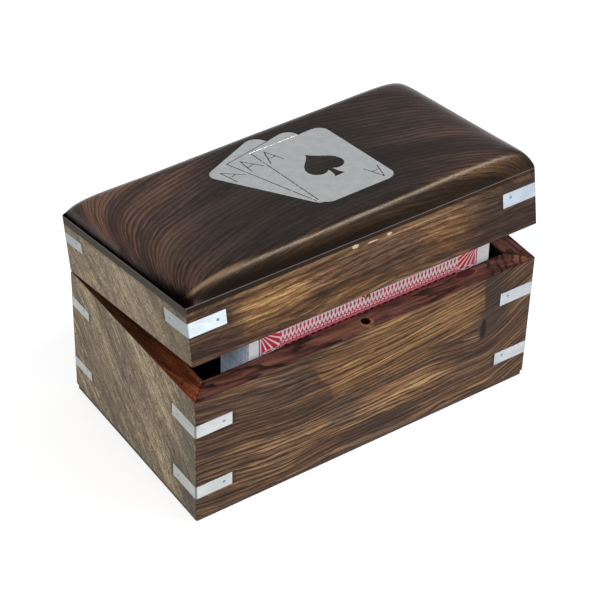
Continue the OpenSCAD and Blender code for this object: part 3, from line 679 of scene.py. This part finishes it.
head_dome = 0.12
nail = Finish("pin_metal", Metallic=1.0, Roughness=0.5)
spots = nail.noise(*nail.place(), scale=0.8)
nail.set(Base_Color=nail.mix(spots, rgb(120, 122, 126), rgb(160, 163, 168)))
for body in ("base", "lid"):
    name = body + "_strap_pins"
    shape = eased_copy(name, head_dome, at_head, lid=body == "lid", segments=2)
    new_piece(name + "_domed", shape, nail, body, name)


# Emblem, a plate of thin aluminium sawn as a fan of three cards with a spade opening, let into the
# panel and rubbed down with it; the letters and the cards' edges are scratched in by hand.

plain = Finish("emblem_aluminium", Metallic=1.0)
x, y, z = plain.place(lid=True)
scratch = plain.noise(x * 0.5, y * 4.0, 0.0, detail=3.0, rough=0.6)
dent = plain.noise(x * 0.35, y * 0.35, 0.0)
plate_drop = 0.15
# Painted shade darkens the scratched cuts, and a painted glint lights them here and there and along the front
# card's top edge.
groove_shade = plain.fall(z - panel_foot - crown(x, y) + plate_drop, -0.05, -0.015)
colour = plain.mix(plain.step(dent, 0.3, 0.75), rgb(236, 241, 243), rgb(248, 250, 252))
colour = plain.mix(plain.step(scratch, 0.55, 0.8) * 0.3, colour, rgb(200, 206, 210))
glint = plain.step(plain.noise(x, y, 0.0, scale=1.3, detail=1.0), 0.58, 0.63) * plain.fall(y, 11, 12) \
    | plain.fall(abs(y - 18.3), 0.35, 0.5) * plain.step(x, -6.4, -5.8)
colour = plain.stain(groove_shade, colour, glint, rgb(22, 22, 24), rgb(250, 250, 252))
plain.set(Base_Color=colour, Roughness=plain.step(scratch, 0.3, 0.7, 0.34, 0.46),
          Normal=plain.bump(dent * 0.6 + scratch * 0.1, 0.06 * mm))
dress("emblem_plate", plain)


# Two small brass butt hinges let into the back rims, with their pins and countersunk screws, and
# the split peg of the catch, browned and driven into the lid's front wall.

brass = Finish("old_brass", Metallic=1.0, Roughness=0.38)
spots = brass.noise(*brass.place(), scale=0.35, detail=4.0, rough=0.6)
brass.set(Base_Color=brass.mix(brass.step(spots, 0.35, 0.7), rgb(112, 84, 44), rgb(186, 150, 88)),
          Normal=brass.bump(spots, 0.02 * mm))
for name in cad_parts:
    if "hinge" in name:
        dress(name, brass)

peg = Finish("browned_peg", Metallic=0.6, Roughness=0.45)
spots = peg.noise(*peg.place(), scale=0.8, detail=3.0)
peg.set(Base_Color=peg.mix(spots, rgb(52, 30, 18), rgb(104, 70, 40)))
dress("catch_peg", peg)


# Deck of coated paper cards, loose on its long edge. The front card's printed back has a plain
# border, two fine lines and a woven band of crosses and loops with fans in the corners; the others
# show only their cut edges.

card_l, card_h, card_x, card_floor, card_lean = 89.0, 57.0, 6.27, 2.506, radians(1.2)
card_pitch, border_left, border_right, border_ends = 0.3, 3.4, 4.7, 4.0
crosses_from, crosses_middle, loops_from, loops_middle, loop_r = 1.1, 3.6, 6.0, 6.7, 0.4
corner_size, fan_rays, field_from, weave_pitch = 7.5, 7, 8.0, 2.4
back = Finish("card_back", Roughness=0.35, Specular_IOR_Level=0.4)


def zigzag(value):
    """A half at every whole number, nothing half way between."""
    return abs(value % 1.0 - 0.5)


def between(low, high):
    """One from low to high, measured inwards from the print's edge."""
    return back.step(inside, low, low + 0.1) * back.fall(inside, high, high + 0.1)


def either(factor, a, b):
    """A number that goes from a to b with the factor."""
    return back.node("ShaderNodeMix", {"data_type": "FLOAT"}, {0: factor, 2: a, 3: b})


x, y, z = back.place()
u, v = x - card_x + card_l / 2, (z - card_floor) / cos(card_lean)
in_x = (u - border_left) & (card_l - border_right - u)
in_z = (v - border_ends) & (card_h - border_ends - v)
inside = in_x & in_z
run = either(back.step(in_x - in_z, -0.01, 0.01), v, u)
slope, pitch = (inside - crosses_middle) * 0.3, 1.4
stroke = zigzag((run + slope) / pitch) & zigzag((run - slope) / pitch)
cross = back.fall(stroke, 0.15, 0.23) * between(crosses_from, loops_from)
loop = abs((zigzag(run / pitch) * pitch) ** 2.0 + (inside - loops_middle) ** 2.0 - loop_r ** 2)
loop = back.fall(loop, 0.06, 0.14) * between(loops_from, corner_size - 0.1)
in_corner = back.fall(in_x | in_z, corner_size - 0.1, corner_size + 0.1) * back.step(inside, 0.9, 1.0)
turn = back.node("ShaderNodeMath", {"operation": "ARCTAN2"}, {0: in_z, 1: in_x}) / (pi / 2)
fan = back.fall(zigzag(turn * fan_rays), 0.12, 0.2)
weave = zigzag((u + v) / weave_pitch) & zigzag((u - v) / weave_pitch)
white = back.mix(back.noise(x, z, 0.0, scale=0.6), rgb(240, 240, 245), rgb(250, 250, 252))
field = back.mix(back.fall(weave, 0.1, 0.16), rgb(118, 16, 36), rgb(196, 90, 108))
colour = back.mix(back.step(inside, -0.05, 0.05), white, rgb(176, 22, 44))
colour = back.mix(between(0.35, 0.75), colour, white)
colour = back.mix(back.step(inside, 0.75, 0.85), colour, rgb(214, 52, 78))
colour = back.mix(either(in_corner, cross | loop, fan) * 0.9, colour, white)
colour = back.mix(back.step(inside, corner_size, corner_size + 0.1), colour, rgb(236, 150, 168))
colour = back.mix(back.step(inside, field_from, field_from + 0.1), colour, field)
back.set(Base_Color=colour)
dress("front_card", back)

paper = Finish("card_edges", Roughness=0.6)
x, y, z = paper.place()
sheet = zigzag((y + z * tan(card_lean)) / card_pitch)
# The paper edges are white; their blue tint is painted shade.
colour = paper.mix(paper.noise(0.0, y * 3.3, z * 0.2), rgb(190, 208, 228), rgb(226, 236, 248))
colour = paper.mix(paper.step(sheet, 0.36, 0.48) * 0.5, colour, rgb(96, 108, 124))
paper.set(Base_Color=colour)
dress("card_deck", paper)


# Camera at the photograph's place, above the box's front left corner and a little rolled, its lens
# as long as the fitted view asks.

azimuth, height, roll = radians(-35.10), radians(39.71), radians(1.65)
backward = Vector((sin(azimuth) * cos(height), -cos(azimuth) * cos(height), sin(height)))
right = Vector((0, 0, 1)).cross(backward).normalized()
upward = backward.cross(right)
right, upward = cos(roll) * right + sin(roll) * upward, -sin(roll) * right + cos(roll) * upward
lens = bpy.data.cameras.new("camera")
lens.lens, lens.sensor_width = 132.14, 36
lens.clip_start, lens.clip_end = 0.05, 20
camera = in_scene("camera", lens)
camera.matrix_world = Matrix.Translation((-0.30643, -0.43419, 0.47509)) \
    @ Matrix((right, upward, backward)).transposed().to_4x4()
bpy.context.scene.camera = camera


# Studio: a white floor that shows as white but lights the box only softly, plain light from all
# round, a little stronger from the front left and above, and two soft lamps.

white_sheet = Finish("white_floor", Base_Color=(0.5, 0.5, 0.5, 1), Roughness=0.9, Specular_IOR_Level=0.1)
shown = sum(white_sheet.node("ShaderNodeLightPath", out=ray)
            for ray in ("Is Camera Ray", "Is Glossy Ray", "Is Transmission Ray"))
white_sheet.set(Emission_Color=(1, 1, 1, 1), Emission_Strength=shown * 0.6)
ground = bmesh.new()
bmesh.ops.create_grid(ground, x_segments=1, y_segments=1, size=4)
floor = in_scene("floor", mesh_of("floor", ground))
floor.data.materials.append(white_sheet.material)

air = Finish("studio", bpy.data.worlds.new("studio"), "Background", Color=(1, 1, 1, 1))
bpy.context.scene.world = air.material
toward = air.node("ShaderNodeVectorMath", {"operation": "DOT_PRODUCT"},
                  {0: air.node("ShaderNodeTexCoord", out="Generated"), 1: (-0.35, -0.75, 0.56)}, out="Value")
seen = air.node("ShaderNodeLightPath", out="Is Camera Ray")
air.set(Strength=(toward * 0.33 + 0.53) * (1 - seen) + seen)

lamp_distance = 1.6
for name, at, size, power in (("key", (0.44, -0.36, 0.82), 0.4, 18), ("fill", (-0.75, -0.62, 0.8), 0.35, 9)):
    light = bpy.data.lights.new(name, "AREA")
    light.shape, light.size, light.energy = "SQUARE", size, power
    at = Vector(at).normalized() * lamp_distance
    aim = at.to_track_quat("Z", "Y").to_matrix().to_4x4()
    in_scene(name, light).matrix_world = Matrix.Translation(at) @ aim
bpy.context.scene.view_settings.view_transform = "Standard"
